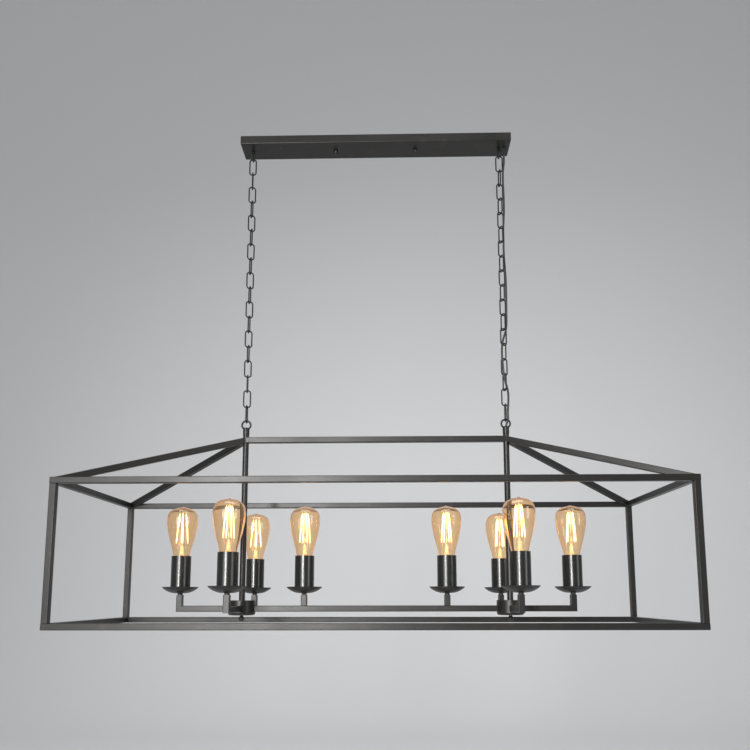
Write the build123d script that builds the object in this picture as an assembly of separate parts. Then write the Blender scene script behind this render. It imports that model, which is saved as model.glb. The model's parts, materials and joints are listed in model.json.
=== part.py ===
from build123d import *
import math
import os

# Linear island pendant: a long cage of square tube on two chains under a ceiling canopy.
# Millimetres, +Z up, X along the cage, -Y towards the viewer.
# Origin: centre of the slotted strap, on the ceiling plane.

# ---------------------------------------------------------------- driving sizes
# square tube of the cage and of the lamp arms
BAR = 12.7
BAR_WALL = 1.2
BAR_CORNER = 1.5

# cage
CAGE_LENGTH = 1219.0
CAGE_WIDTH = 400.0
CAGE_HEIGHT = 286.0
ROOF_RISE = 119.0
CAGE_DROP = 1100.0
ROD_SPREAD = 566.0

# hanging rods
ROD_DIAMETER = 12.7
ROD_BORE = 9.7
ROD_PLUG = 12.0
ROD_WIRE_HOLE = 5.0
ROD_ABOVE_RIDGE = 5.0

# ceiling canopy
CANOPY_OVERHANG = 24.0
CANOPY_WIDTH = 60.0
CANOPY_DEPTH = 19.0
CANOPY_SHEET = 1.2
CANOPY_BEND = 2.0
STUD_SPREAD = 183.0
STUD_DIAMETER = 4.0
STUD_BELOW_CANOPY = 6.0
STRAP_LENGTH = 214.0
STRAP_WIDTH = 24.0
STRAP_THICKNESS = 2.5
STRAP_SLOT_SPREAD = 82.6
STRAP_SLOT_LENGTH = 17.4
STRAP_SLOT_WIDTH = 4.4
STRAP_WIRE_HOLE = 12.0
NUT_FLATS = 7.0
NUT_HEIGHT = 3.0
CAP_NUT_DIAMETER = 9.0
CAP_NUT_HEIGHT = 8.0

# chain
LINK_WIRE = 3.0
LINK_WIDTH = 17.5
LINK_BEND = 6.0
LINK_PITCH = 34.4
LINK_COUNT = 18
LINK_TWIST = 27.0
LINK_TWIST_STEP = 9.0
HANG_GAP = 0.3

# eyes under the canopy and rings on the rods
EYE_WIRE = 3.2
EYE_BORE = 12.8
EYE_STEM = 6.0
EYE_STEM_ABOVE_SHEET = 7.0
EYE_NUT_FLATS = 10.0
EYE_NUT_HEIGHT = 4.5
EYE_REST = 41.0
RING_WIRE = 4.0
RING_BORE = 15.0
COLLAR_DIAMETER = 14.0
COLLAR_SPIGOT = 12.0

# lamp cord
CORD_DIAMETER = 4.5
CORD_OUT = 11.4
CORD_CUT = 3.2
LEAD_DIAMETER = 1.2
BUSHING_FLANGE = 9.4
BUSHING_FLANGE_HEIGHT = 1.4
BUSHING_NECK = 7.0
CONNECTOR_LENGTH = 17.0
CONNECTOR_MOUTH = 7.0
CONNECTOR_TIP = 4.6
CONNECTOR_BORE = 3.0
CONNECTOR_BORE_DEPTH = 9.0
CONNECTOR_SPACING = 9.0
CONNECTOR_FROM_CORD = 15.0

# hubs
HUB_DIAMETER = 57.0
HUB_HEIGHT = 31.0
HUB_WALL = 1.5
HUB_ROUND = 5.0
HUB_BOTTOM = 22.0
ARM_INSIDE_HUB = 5.0
FINIAL_DIAMETER = 12.0
FINIAL_NECK = 5.0
FINIAL_NECK_LENGTH = 1.2
FINIAL_STUD = 4.0
FINIAL_STUD_LENGTH = 9.0

# lamp arms, measured from the cage's lowest face
ARM_REACH = 132.0
ARM_MIDDLE = 35.7
UPRIGHT_TOP = 64.3
UPRIGHT_CAP = 3.0

# lamp holders
NIPPLE_DIAMETER = 9.5
NIPPLE_BORE = 6.0
NIPPLE_BELOW = 9.0
NIPPLE_ABOVE = 16.0
SHOULDER_DIAMETER = 10.5
SHOULDER_HEIGHT = 3.6
DISH_DIAMETER = 75.0
DISH_RISE = 13.5
DISH_SHEET = 1.2
DISH_FLAT = 16.0
SLEEVE_DIAMETER = 41.0
SLEEVE_WALL = 0.9
SLEEVE_TOP = 146.7
SLEEVE_LIFT = 3.0
SLEEVE_BOSS = 14.0
SOCKET_DIAMETER = 36.0
SOCKET_BORE = 29.0
SHELL_DIAMETER = 28.0
SHELL_WALL = 0.4
SHELL_DEPTH = 27.0

# lamp bulb: pointed tall bulb with a medium screw base
BULB_TIP = 253.4
BULB_LENGTH = 142.0
BULB_RADIUS = 32.0
BULB_GLASS = 1.0
BULB_NECK_RADIUS = 13.0
BASE_DIAMETER = 26.4
BASE_LENGTH = 26.5
BASE_SHELL = 17.5
BASE_THREAD_DEPTH = 0.9
BASE_THREADS = 4
BASE_CONTACT = 9.0
BASE_SEAT = 0.3
BULB_DOME_START = 90.0
STEM_RADIUS = 8.5
STEM_HEIGHT = 30.0
POST_DIAMETER = 1.2
FILAMENT_DIAMETER = 1.8
FILAMENT_LOW = 34.0
FILAMENT_HIGH = 103.0
FILAMENT_LOW_RADIUS = 12.5
FILAMENT_HIGH_RADIUS = 7.0
SPOKE_RADIUS = 0.5

# clearances
SLIP = 0.05
PASS = 0.3

# ---------------------------------------------------------------- worked-out places
CAGE_BOTTOM = -CAGE_DROP
CAGE_TOP = CAGE_BOTTOM + CAGE_HEIGHT
RIDGE_TOP = CAGE_TOP + ROOF_RISE
ROD_X = ROD_SPREAD / 2
CANOPY_LENGTH = ROD_SPREAD + 2 * CANOPY_OVERHANG
ROD_TOP = RIDGE_TOP + ROD_ABOVE_RIDGE
HUB_FLOOR = CAGE_BOTTOM + HUB_BOTTOM
HUB_RIM = HUB_FLOOR + HUB_HEIGHT - HUB_WALL
ARM_Z = CAGE_BOTTOM + ARM_MIDDLE
UPRIGHT_Z = CAGE_BOTTOM + UPRIGHT_TOP
DISH_Z = UPRIGHT_Z + SHOULDER_HEIGHT
SLEEVE_Z = DISH_Z + DISH_SHEET
SLEEVE_FLOOR = SLEEVE_Z + SLEEVE_LIFT
SLEEVE_RIM = CAGE_BOTTOM + SLEEVE_TOP
BULB_BOTTOM = CAGE_BOTTOM + BULB_TIP - BULB_LENGTH
BULB_SHOULDER = BULB_BOTTOM + BASE_LENGTH
SHELL_BOTTOM = BULB_BOTTOM - BASE_SEAT - SHELL_WALL
SHELL_TOP = SHELL_BOTTOM + SHELL_DEPTH
CANOPY_FLOOR = -CANOPY_DEPTH + CANOPY_SHEET
STUD_X = STUD_SPREAD / 2
EYE_REST_Z = -EYE_REST
RING_REST_Z = EYE_REST_Z + HANG_GAP - LINK_COUNT * LINK_PITCH
RING_CENTRE = RING_REST_Z - RING_BORE / 2
COLLAR_TOP = RING_CENTRE - RING_BORE / 2 + 1.5
# pivots lie on the wires that roll: fore-aft ones run along X, sideways ones along Y
SWING_TOP_Z = EYE_REST_Z + HANG_GAP + LINK_WIRE / 2
SWAY_TOP_Z = SWING_TOP_Z - LINK_PITCH
SWAY_BOTTOM_Z = SWING_TOP_Z - (LINK_COUNT - 1) * LINK_PITCH
SWING_BOTTOM_Z = RING_REST_Z + RING_WIRE / 2

SIDES = {"left": -1, "right": 1}
# lamp places as (x, y), numbered from the left: outer, front, rear and inner lamp of each hub
LAMP_PLACES = [
    (-ROD_X - ARM_REACH, 0),
    (-ROD_X, -ARM_REACH),
    (-ROD_X, ARM_REACH),
    (-ROD_X + ARM_REACH, 0),
    (ROD_X - ARM_REACH, 0),
    (ROD_X, ARM_REACH),
    (ROD_X, -ARM_REACH),
    (ROD_X + ARM_REACH, 0),
]

parts = {}


# ---------------------------------------------------------------- general shapes
def cylinder(diameter, low, high, x=0.0, y=0.0):
    """Upright cylinder between two heights."""
    return Pos(x, y, (low + high) / 2) * Cylinder(diameter / 2, high - low)


def block(x0, x1, y0, y1, z0, z1):
    """Box between two corners."""
    return Pos((x0 + x1) / 2, (y0 + y1) / 2, (z0 + z1) / 2) * Box(x1 - x0, y1 - y0, z1 - z0)


def hexagon(flats, low, high, x=0.0, y=0.0):
    """Upright hexagonal prism, one flat facing +X."""
    outline = RegularPolygon(flats / 2, 6, major_radius=False, rotation=30)
    return Pos(x, y, low) * extrude(outline, amount=high - low)


def turned(points, x=0.0, y=0.0, z=0.0):
    """Solid of revolution about Z from (radius, height) points."""
    profile = make_face(Plane.XZ * Polyline(*points, close=True))
    return Pos(x, y, z) * revolve(profile, Axis.Z)


def biggest(shape):
    """The largest solid of a cut shape."""
    return max(shape.solids(), key=lambda solid: solid.volume)


def square_tube(length):
    """Hollow square tube along X, centred on the origin."""
    core = BAR - 2 * BAR_WALL
    outer = extrude(Plane.YZ * RectangleRounded(BAR, BAR, BAR_CORNER), length / 2, both=True)
    inner = extrude(Plane.YZ * Rectangle(core, core), length / 2, both=True)
    return outer - inner


def prism_z(points, low, high):
    """Straight prism along Z from (x, y) points."""
    return Pos(0, 0, low) * extrude(make_face(Polyline(*points, close=True)), amount=high - low)


def prism_y(points, half_width):
    """Straight prism along Y, centred, from (x, z) points."""
    return extrude(make_face(Plane.XZ * Polyline(*points, close=True)), half_width, both=True)


# ---------------------------------------------------------------- canopy and what is fixed to it
def canopy():
    """Sheet-metal pan, open at the ceiling, with holes for studs, eyes and the cord."""
    outer = block(
        -CANOPY_LENGTH / 2, CANOPY_LENGTH / 2, -CANOPY_WIDTH / 2, CANOPY_WIDTH / 2, -CANOPY_DEPTH, 0
    )
    corners = outer.edges().filter_by(Axis.Z) + outer.faces().sort_by(Axis.Z)[0].edges()
    outer = fillet(corners, CANOPY_BEND)
    half_x = CANOPY_LENGTH / 2 - CANOPY_SHEET
    half_y = CANOPY_WIDTH / 2 - CANOPY_SHEET
    inner = block(-half_x, half_x, -half_y, half_y, CANOPY_FLOOR, 1)
    inner = fillet(inner.edges().filter_by(Axis.Z), CANOPY_BEND - CANOPY_SHEET)
    pan = outer - inner
    for side in SIDES.values():
        pan -= cylinder(STUD_DIAMETER + 2 * PASS, -CANOPY_DEPTH - 1, 0, side * STUD_X)
        pan -= cylinder(EYE_STEM + 2 * SLIP, -CANOPY_DEPTH - 1, 0, side * ROD_X)
    pan -= cylinder(BUSHING_NECK + 2 * SLIP, -CANOPY_DEPTH - 1, 0, ROD_X + CORD_OUT)
    return pan


def mounting_strap():
    """Flat steel strap on the ceiling box: two slots, a wire hole and two stud holes."""
    outline = RectangleRounded(STRAP_LENGTH, STRAP_WIDTH, 5)
    strap = Pos(0, 0, -STRAP_THICKNESS) * extrude(outline, amount=STRAP_THICKNESS)
    for side in SIDES.values():
        slot = extrude(SlotOverall(STRAP_SLOT_LENGTH, STRAP_SLOT_WIDTH), STRAP_THICKNESS * 2, both=True)
        strap -= Pos(side * STRAP_SLOT_SPREAD / 2, 0, 0) * slot
        strap -= cylinder(STUD_DIAMETER + 2 * SLIP, -STRAP_THICKNESS - 1, 1, side * STUD_X)
    return strap - cylinder(STRAP_WIRE_HOLE, -STRAP_THICKNESS - 1, 1)


def canopy_studs():
    """Two threaded studs that hang from the strap and carry the canopy."""
    low = -CANOPY_DEPTH - STUD_BELOW_CANOPY
    return [cylinder(STUD_DIAMETER, low, 0, side * STUD_X) for side in SIDES.values()]


def fixing_nuts():
    """Lock nuts: one under the strap on each stud, one above the sheet on each eye."""
    nuts = []
    for side in SIDES.values():
        low = -STRAP_THICKNESS - NUT_HEIGHT
        nut = hexagon(NUT_FLATS, low, -STRAP_THICKNESS, side * STUD_X)
        nuts.append(nut - cylinder(STUD_DIAMETER + 2 * SLIP, low - 1, 0, side * STUD_X))
        high = CANOPY_FLOOR + EYE_NUT_HEIGHT
        nut = hexagon(EYE_NUT_FLATS, CANOPY_FLOOR, high, side * ROD_X)
        nuts.append(nut - cylinder(EYE_STEM + 2 * SLIP, CANOPY_FLOOR - 1, high + 1, side * ROD_X))
    return nuts


def cap_nuts():
    """Two domed nuts that hold the canopy up."""
    nuts = []
    radius = CAP_NUT_DIAMETER / 2
    for side in SIDES.values():
        top = -CANOPY_DEPTH
        with_dome = turned(
            [
                (0, top),
                (radius, top),
                (radius, top - CAP_NUT_HEIGHT * 0.45),
                (radius * 0.8, top - CAP_NUT_HEIGHT * 0.78),
                (radius * 0.4, top - CAP_NUT_HEIGHT * 0.97),
                (0, top - CAP_NUT_HEIGHT),
            ],
            side * STUD_X,
        )
        bore = cylinder(STUD_DIAMETER + 2 * SLIP, top - STUD_BELOW_CANOPY - SLIP, top, side * STUD_X)
        nuts.append(with_dome - bore)
    return nuts


def canopy_eyes():
    """Two eyes under the canopy, ring in the YZ plane, threaded stem through the sheet."""
    eyes = []
    centre = EYE_REST_Z + EYE_BORE / 2
    ring_radius = (EYE_BORE + EYE_WIRE) / 2
    for side in SIDES.values():
        ring = Pos(side * ROD_X, 0, centre) * Rot(0, 90, 0) * Torus(ring_radius, EYE_WIRE / 2)
        stem_low = centre + ring_radius
        stem = cylinder(EYE_STEM, stem_low, CANOPY_FLOOR + EYE_STEM_ABOVE_SHEET, side * ROD_X)
        shoulder = cylinder(EYE_STEM + 3, -CANOPY_DEPTH - 2, -CANOPY_DEPTH, side * ROD_X)
        eyes.append(ring + stem + shoulder)
    return eyes


def cord_bushing():
    """Plastic bushing in the canopy's cord hole, with a flange under the sheet."""
    x = ROD_X + CORD_OUT
    low = -CANOPY_DEPTH - BUSHING_FLANGE_HEIGHT
    bushing = cylinder(BUSHING_FLANGE, low, -CANOPY_DEPTH, x)
    bushing += cylinder(BUSHING_NECK, -CANOPY_DEPTH, CANOPY_FLOOR + 1.5, x)
    return bushing - cylinder(CORD_DIAMETER + 2 * SLIP, low - 1, 0, x)


# ---------------------------------------------------------------- chains
def chain_link(middle, angle, x):
    """One link: a rounded rectangle of round wire, its plane turned about Z."""
    inner_length = LINK_PITCH + HANG_GAP
    path = RectangleRounded(LINK_WIDTH - LINK_WIRE, inner_length + LINK_WIRE, LINK_BEND).wire()
    start = path @ 0
    along = path % 0
    section = Plane(origin=start, z_dir=along) * Circle(LINK_WIRE / 2)
    ring = sweep(section, path=path)
    return Pos(x, 0, middle) * Rot(0, 0, angle) * Rot(90, 0, 0) * ring


def link_middle(number):
    """Height of a link's centre, counted down from the canopy."""
    return EYE_REST_Z + HANG_GAP / 2 - (number + 0.5) * LINK_PITCH


def link_angle(number):
    """Links alternate by a right angle and the chain takes a slight twist between its ends."""
    from_end = min(number, LINK_COUNT - 1 - number)
    twist = min(LINK_TWIST, LINK_TWIST_STEP * from_end)
    return twist + 90 * (number % 2)


def links(first, last, x):
    """The links from first to last of the chain at x."""
    return [chain_link(link_middle(n), link_angle(n), x) for n in range(first, last + 1)]


# ---------------------------------------------------------------- lamp cord
# its route, as offsets in x from the right chain, then y and z, from the connectors to the rod
CORD_ROUTE = [
    (-128.0, 0.0, -15.2),
    (-95.0, 3.0, -15.3),
    (-62.0, 5.0, -14.6),
    (-38.0, 3.5, -10.5),
    (-13.0, 0.8, -5.5),
    (11.4, 0.0, -4.9),
    (11.4, 0.0, -42.0),
    (11.0, -2.5, -58.0),
    (8.0, -4.3, -75.1),
    (7.0, -4.8, -92.3),
    (7.2, -4.3, -109.5),
    (7.9, -3.4, -126.7),
    (8.3, -2.7, -143.9),
    (8.3, -2.2, -161.1),
    (8.0, -2.1, -178.3),
    (6.9, -2.0, -195.5),
    (5.7, -2.0, -212.7),
    (5.3, -1.9, -229.9),
    (5.5, -1.7, -247.1),
    (5.1, -1.6, -264.3),
    (5.4, -1.7, -281.5),
    (6.2, -2.1, -298.7),
    (7.0, -2.6, -315.9),
    (7.7, -2.9, -333.1),
    (8.0, -3.0, -350.3),
    (8.1, -2.8, -367.5),
    (8.0, -2.4, -384.7),
    (7.9, -1.7, -401.9),
    (7.7, -0.9, -419.1),
    (7.6, -0.6, -436.3),
    (6.3, -1.4, -453.5),
    (0.7, -4.1, -470.7),
    (-4.2, -6.7, -487.9),
    (-5.6, -7.4, -505.1),
    (-5.3, -7.7, -522.3),
    (-3.8, -7.8, -539.5),
    (-2.7, -6.1, -556.7),
    (0.9, -2.4, -573.9),
    (5.8, -3.3, -591.1),
    (6.8, -5.3, -608.3),
    (5.6, -6.9, -625.5),
    (4.1, -7.3, -641.0),
    (4.3, -7.0, -651.0),
    (4.7, -4.9, -661.5),
    (0.0, 0.0, -671.0),
    (0.0, 0.0, -691.0),
]


def round_wire(points, diameter, name=None):
    """Round wire along straight runs joined by tangent arcs, the radii printed for a named one."""
    vectors = [Vector(*point) for point in points]
    radii = []
    for before, corner, after in zip(vectors, vectors[1:], vectors[2:]):
        run_in = corner - before
        run_out = after - corner
        half_turn = math.radians(run_in.get_angle(run_out)) / 2
        radii.append(0.45 * min(run_in.length, run_out.length) / math.tan(half_turn))
    path = FilletPolyline(*vectors, radius=radii) if radii else Line(*vectors)
    section = Plane(origin=path @ 0, z_dir=path % 0) * Circle(diameter / 2)
    solid = sweep(section, path=path)
    if name:
        share = solid.volume / (math.pi * (diameter / 2) ** 2 * path.length)
        print(f"{name}: {path.length:.1f} mm, least radius {min(radii):.1f}, volume {share:.4f}")
    return solid


def cord_pieces():
    """The lamp cord, parted where it passes a pivot of the chain, from the canopy down."""
    route = [(ROD_X + x, y, z) for x, y, z in CORD_ROUTE]
    whole = round_wire(route, CORD_DIAMETER, "lamp cord")
    pieces = []
    top = 0
    for pivot in (SWING_TOP_Z, SWAY_TOP_Z, SWAY_BOTTOM_Z, SWING_BOTTOM_Z):
        pieces.append(biggest(whole & slab(pivot + CORD_CUT / 2, top)))
        top = pivot - CORD_CUT / 2
    pieces.append(biggest(whole & slab(-CAGE_DROP, top)))
    return pieces


def slab(low, high):
    """All space round the right chain between two heights."""
    return block(0, CANOPY_LENGTH, -CANOPY_WIDTH, CANOPY_WIDTH, low, high)


def lead_ends():
    """Places of the three leads: the cord's end and the connectors' mouths."""
    x, y, z = CORD_ROUTE[0]
    x += ROD_X
    seat = CANOPY_FLOOR + CONNECTOR_MOUTH / 2 + PASS
    mouth = x - CONNECTOR_FROM_CORD
    return [
        ((x, y + side * LEAD_DIAMETER, z), (mouth, side * CONNECTOR_SPACING, seat)) for side in (-1, 0, 1)
    ]


def stripped_leads():
    """Three leads from the cord's end into the connectors."""
    leads = []
    for (x, y, z), (mouth, side, seat) in lead_ends():
        points = [
            (x - PASS, y, z),
            (x - 5, y * 1.5, z + 0.2),
            (mouth + 3, side * 0.95, seat),
            (mouth - CONNECTOR_BORE_DEPTH + 2, side, seat),
        ]
        leads.append(round_wire(points, LEAD_DIAMETER))
    return leads


def wire_connectors():
    """Three twist-on connectors lying in the canopy, one on each lead."""
    connectors = []
    for _, (mouth, side, seat) in lead_ends():
        cap = Cone(CONNECTOR_MOUTH / 2, CONNECTOR_TIP / 2, CONNECTOR_LENGTH)
        cap -= Pos(0, 0, (CONNECTOR_BORE_DEPTH - CONNECTOR_LENGTH) / 2) * Cylinder(
            CONNECTOR_BORE / 2, CONNECTOR_BORE_DEPTH
        )
        connectors.append(Pos(mouth - CONNECTOR_LENGTH / 2, side, seat) * Rot(0, -90, 0) * cap)
    return connectors


# ---------------------------------------------------------------- cage
def rail_along_x(y_side, z_low):
    """Long rail with its ends mitred at 45 degrees into the short rails."""
    outer_y = y_side * CAGE_WIDTH / 2
    inner_y = y_side * (CAGE_WIDTH / 2 - BAR)
    half = CAGE_LENGTH / 2
    tube = Pos(0, (outer_y + inner_y) / 2, z_low + BAR / 2) * square_tube(CAGE_LENGTH)
    ends = [(-half, outer_y), (half, outer_y), (half - BAR, inner_y), (-half + BAR, inner_y)]
    return tube & prism_z(ends, z_low, z_low + BAR)


def rail_along_y(x_side, z_low):
    """Short rail with its ends mitred at 45 degrees into the long rails."""
    outer_x = x_side * CAGE_LENGTH / 2
    inner_x = x_side * (CAGE_LENGTH / 2 - BAR)
    half = CAGE_WIDTH / 2
    tube = Pos((outer_x + inner_x) / 2, 0, z_low + BAR / 2) * Rot(0, 0, 90) * square_tube(CAGE_WIDTH)
    ends = [(outer_x, -half), (outer_x, half), (inner_x, half - BAR), (inner_x, -half + BAR)]
    return tube & prism_z(ends, z_low, z_low + BAR)


def corner_post(x_side, y_side):
    """Upright between the bottom and top corners."""
    length = CAGE_HEIGHT - 2 * BAR
    x = x_side * (CAGE_LENGTH - BAR) / 2
    y = y_side * (CAGE_WIDTH - BAR) / 2
    return Pos(x, y, (CAGE_BOTTOM + CAGE_TOP) / 2) * Rot(0, 90, 0) * square_tube(length)


def ridge_bar():
    """Top bar between the rods, its ends coped to them."""
    bar = Pos(0, 0, RIDGE_TOP - BAR / 2) * square_tube(ROD_SPREAD)
    for side in SIDES.values():
        bar -= cylinder(ROD_DIAMETER + 2 * SLIP, RIDGE_TOP - 2 * BAR, RIDGE_TOP + 1, side * ROD_X)
    return biggest(bar)


def hip_bar(x_side, y_side):
    """Sloping bar from a rod at the ridge to a corner of the top rectangle."""
    start = Vector(x_side * ROD_X, 0, RIDGE_TOP - BAR / 2)
    end = Vector(
        x_side * (CAGE_LENGTH - BAR) / 2, y_side * (CAGE_WIDTH - BAR) / 2, CAGE_TOP - BAR / 2
    )
    along = (end - start).normalized()
    level = Vector(-along.Y, along.X, 0).normalized()
    frame = Plane(origin=(start + end) / 2, x_dir=along, z_dir=along.cross(level))
    bar = frame * square_tube((end - start).length + 2 * BAR)
    # mitre against the other hip of the pair, cope to the rod, and trim to the top rectangle
    far_x = x_side * CAGE_LENGTH / 2
    far_y = y_side * CAGE_WIDTH / 2
    x0, x1 = sorted((x_side * ROD_X, far_x))
    y0, y1 = sorted((0, far_y))
    bar &= block(x0, x1, y0, y1, CAGE_TOP - 2 * BAR, RIDGE_TOP + BAR)
    bar -= cylinder(ROD_DIAMETER + 2 * SLIP, RIDGE_TOP - 3 * BAR, RIDGE_TOP + BAR, x_side * ROD_X)
    rail_y0, rail_y1 = sorted((far_y, far_y - y_side * BAR))
    bar -= block(x0, x1, rail_y0, rail_y1, CAGE_TOP - 2 * BAR, CAGE_TOP)
    rail_x0, rail_x1 = sorted((far_x, far_x - x_side * BAR))
    bar -= block(rail_x0, rail_x1, y0, y1, CAGE_TOP - 2 * BAR, CAGE_TOP)
    return biggest(bar)


# ---------------------------------------------------------------- rods, rings and hubs
def rod(side):
    """Hanging rod: tube with a threaded plug for the finial and a wire hole in the hub."""
    x = side * ROD_X
    low = HUB_FLOOR + HUB_WALL
    tube = cylinder(ROD_DIAMETER, low, ROD_TOP, x) - cylinder(ROD_BORE, low + ROD_PLUG, ROD_TOP, x)
    tube -= cylinder(FINIAL_STUD + 2 * SLIP, low, low + ROD_PLUG, x)
    wire_hole = Rot(90, 0, 0) * Cylinder(ROD_WIRE_HOLE / 2, ROD_DIAMETER)
    return tube - Pos(x, -ROD_DIAMETER / 2, low + ROD_PLUG + ROD_WIRE_HOLE) * wire_hole


def rod_rings():
    """Ring and collar that screw into the top of each rod; the cord goes in through the collar."""
    rings = []
    ring_radius = (RING_BORE + RING_WIRE) / 2
    for side in SIDES.values():
        x = side * ROD_X
        ring = Pos(x, 0, RING_CENTRE) * Rot(90, 0, 0) * Torus(ring_radius, RING_WIRE / 2)
        collar = cylinder(COLLAR_DIAMETER, ROD_TOP, COLLAR_TOP, x)
        collar = chamfer(collar.edges().group_by(Axis.Z)[-1], 2.5)
        spigot = cylinder(ROD_BORE - 2 * SLIP, ROD_TOP - COLLAR_SPIGOT, ROD_TOP, x)
        bore_diameter = CORD_DIAMETER + 2 * PASS
        bore = cylinder(bore_diameter, ROD_TOP - COLLAR_SPIGOT - 1, COLLAR_TOP + 3, x)
        flare = Pos(x, 0, COLLAR_TOP - 1) * Cone(bore_diameter / 2, bore_diameter / 2 + 2, 2.4)
        rings.append(ring + collar + spigot - bore - flare)
    return rings


def hub(side):
    """Round wiring cup, open at the top, with a square hole for each arm."""
    x = side * ROD_X
    cup = cylinder(HUB_DIAMETER, HUB_FLOOR, HUB_RIM, x)
    cup = fillet(cup.edges().group_by(Axis.Z)[0], HUB_ROUND)
    inside = cylinder(HUB_DIAMETER - 2 * HUB_WALL, HUB_FLOOR + HUB_WALL, HUB_RIM + 1, x)
    inside = fillet(inside.edges().group_by(Axis.Z)[0], HUB_ROUND - HUB_WALL)
    cup -= inside
    half = BAR / 2 + SLIP
    reach = HUB_DIAMETER
    cup -= block(x - reach, x + reach, -half, half, ARM_Z - half, ARM_Z + half)
    cup -= block(x - half, x + half, -reach, reach, ARM_Z - half, ARM_Z + half)
    return cup - cylinder(FINIAL_STUD + 2 * SLIP, HUB_FLOOR - 1, HUB_RIM, x)


def hub_covers():
    """Flat lid of each hub, with the rod through its middle."""
    covers = []
    for side in SIDES.values():
        x = side * ROD_X
        lid = cylinder(HUB_DIAMETER, HUB_RIM, HUB_RIM + HUB_WALL, x)
        covers.append(lid - cylinder(ROD_DIAMETER + 2 * SLIP, HUB_RIM - 1, HUB_RIM + HUB_WALL + 1, x))
    return covers


def finials():
    """Ball nut under each hub, on a stud that screws into the rod."""
    balls = []
    for side in SIDES.values():
        x = side * ROD_X
        centre = HUB_FLOOR - FINIAL_NECK_LENGTH - FINIAL_DIAMETER / 2
        ball = Pos(x, 0, centre) * Sphere(FINIAL_DIAMETER / 2)
        neck = cylinder(FINIAL_NECK + 2, centre, HUB_FLOOR, x)
        stud = cylinder(FINIAL_STUD, centre, HUB_FLOOR + HUB_WALL + FINIAL_STUD_LENGTH, x)
        balls.append(ball + neck + stud)
    return balls


# ---------------------------------------------------------------- lamp arms
def upright_cap(reach):
    """Plate in the top of an upright, with the nipple's hole."""
    half = BAR / 2 - BAR_WALL
    plate = block(reach - half, reach + half, -half, half, UPRIGHT_Z - UPRIGHT_CAP, UPRIGHT_Z)
    hole = cylinder(NIPPLE_DIAMETER + 2 * SLIP, UPRIGHT_Z - UPRIGHT_CAP - 1, UPRIGHT_Z + 1, reach)
    return plate - hole


def bent_arm():
    """Arm along +X from a hub at the origin: a level tube mitred to an upright."""
    low = ARM_Z - BAR / 2
    high = ARM_Z + BAR / 2
    near = HUB_DIAMETER / 2 - ARM_INSIDE_HUB
    inner = ARM_REACH - BAR / 2
    outer = ARM_REACH + BAR / 2
    level = Pos(outer / 2, 0, ARM_Z) * square_tube(outer)
    level &= prism_y([(near, low), (outer, low), (inner, high), (near, high)], BAR)
    height = UPRIGHT_Z - low
    upright = Pos(ARM_REACH, 0, low + height / 2) * Rot(0, 90, 0) * square_tube(height)
    upright &= prism_y([(outer, low), (outer, UPRIGHT_Z), (inner, UPRIGHT_Z), (inner, high)], BAR)
    return level + upright + upright_cap(ARM_REACH)


def placed_arm(side, turn):
    """A bent arm at one hub, turned about the hub's axis."""
    return Pos(side * ROD_X, 0, 0) * Rot(0, 0, turn) * bent_arm()


def centre_arm():
    """Level tube from hub to hub with two uprights standing on it."""
    length = ROD_SPREAD - HUB_DIAMETER + 2 * ARM_INSIDE_HUB
    arm = Pos(0, 0, ARM_Z) * square_tube(length)
    low = ARM_Z + BAR / 2
    height = UPRIGHT_Z - low
    for side in SIDES.values():
        x = side * (ROD_X - ARM_REACH)
        arm += Pos(x, 0, low + height / 2) * Rot(0, 90, 0) * square_tube(height)
        arm += upright_cap(x)
    return arm


# ---------------------------------------------------------------- lamp holders and bulbs
def nipple(x, y):
    """Threaded tube with a shoulder between the upright and the dish."""
    body = cylinder(NIPPLE_DIAMETER, UPRIGHT_Z - NIPPLE_BELOW, DISH_Z + NIPPLE_ABOVE, x, y)
    body += cylinder(SHOULDER_DIAMETER, UPRIGHT_Z, DISH_Z, x, y)
    return body - cylinder(NIPPLE_BORE, UPRIGHT_Z - NIPPLE_BELOW - 1, DISH_Z + NIPPLE_ABOVE + 1, x, y)


def dish(x, y):
    """Shallow dished plate under the lamp: flat middle, then an arc up to the rim."""
    hole = NIPPLE_DIAMETER / 2 + SLIP
    flat = DISH_FLAT / 2
    rim = DISH_DIAMETER / 2
    rise = DISH_RISE - DISH_SHEET
    run = rim - flat
    middle = flat + run * 0.55
    under = ThreePointArc((flat, 0), (middle, rise * 0.28), (rim, rise))
    over = ThreePointArc(
        (rim - 0.4, rise + DISH_SHEET), (middle - 0.3, rise * 0.28 + DISH_SHEET), (flat, DISH_SHEET)
    )
    outline = [
        Line((hole, 0), (flat, 0)),
        under,
        Line((rim, rise), (rim - 0.4, rise + DISH_SHEET)),
        over,
        Line((flat, DISH_SHEET), (hole, DISH_SHEET)),
        Line((hole, DISH_SHEET), (hole, 0)),
    ]
    profile = make_face([Plane.XZ * edge for edge in outline])
    return Pos(x, y, DISH_Z) * revolve(profile, Axis.Z)


def sleeve(x, y):
    """Metal cover round the socket: a tube with a floor and a boss that stands on the dish."""
    hole = NIPPLE_DIAMETER / 2 + SLIP
    radius = SLEEVE_DIAMETER / 2
    inner = radius - SLEEVE_WALL
    return turned(
        [
            (hole, SLEEVE_Z),
            (SLEEVE_BOSS / 2, SLEEVE_Z),
            (SLEEVE_BOSS / 2, SLEEVE_FLOOR),
            (radius - 1.2, SLEEVE_FLOOR),
            (radius, SLEEVE_FLOOR + 1.2),
            (radius, SLEEVE_RIM),
            (inner, SLEEVE_RIM),
            (inner, SLEEVE_FLOOR + SLEEVE_WALL),
            (hole, SLEEVE_FLOOR + SLEEVE_WALL),
        ],
        x,
        y,
    )


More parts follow.
